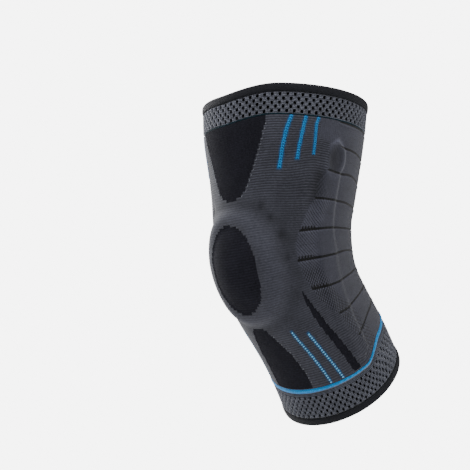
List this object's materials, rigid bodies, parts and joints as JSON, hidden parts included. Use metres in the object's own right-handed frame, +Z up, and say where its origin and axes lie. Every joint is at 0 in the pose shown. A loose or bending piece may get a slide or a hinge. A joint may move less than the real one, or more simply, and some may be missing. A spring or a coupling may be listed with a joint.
{
  "type": "knee brace",
  "caption": "Knitted knee brace in the bent shape of the leg, open at both ends, with mesh cuffs, black panels, a gel ring round the kneecap and a flat stay down each side.",
  "frame": {"origin": "middle of the knee, on the axis of the leg that the brace is worn on", "axes": "+Z up, -Y to the front where the kneecap is, +X to the wearer's left"},
  "size_m": [0.1536, 0.1942, 0.2977],
  "materials": {
    "grey_knit": "matt rib and jersey knit, charcoal grey",
    "mesh_knit": "matt open mesh knit, grey over black",
    "black_knit": "matt fine knit, black",
    "binding": "folded edge, black",
    "blue_yarn": "thick course of bright blue yarn",
    "gel": "soft silicone gel, satin, dark grey",
    "steel": "flat spring steel"
  },
  "bodies": {
    "root": {"top_binding": "binding", "top_cuff": "mesh_knit", "knit_sleeve": "grey_knit", "thigh_panel": "black_knit", "kneecap_panel": "black_knit", "shin_panel": "black_knit", "kneecap_ring": "gel", "slash_left": "black_knit", "stay_left": "steel", "slash_right": "black_knit", "stay_right": "steel", "blue_line": "blue_yarn", "bottom_cuff": "mesh_knit", "bottom_binding": "binding"}
  },
  "joints": []
}
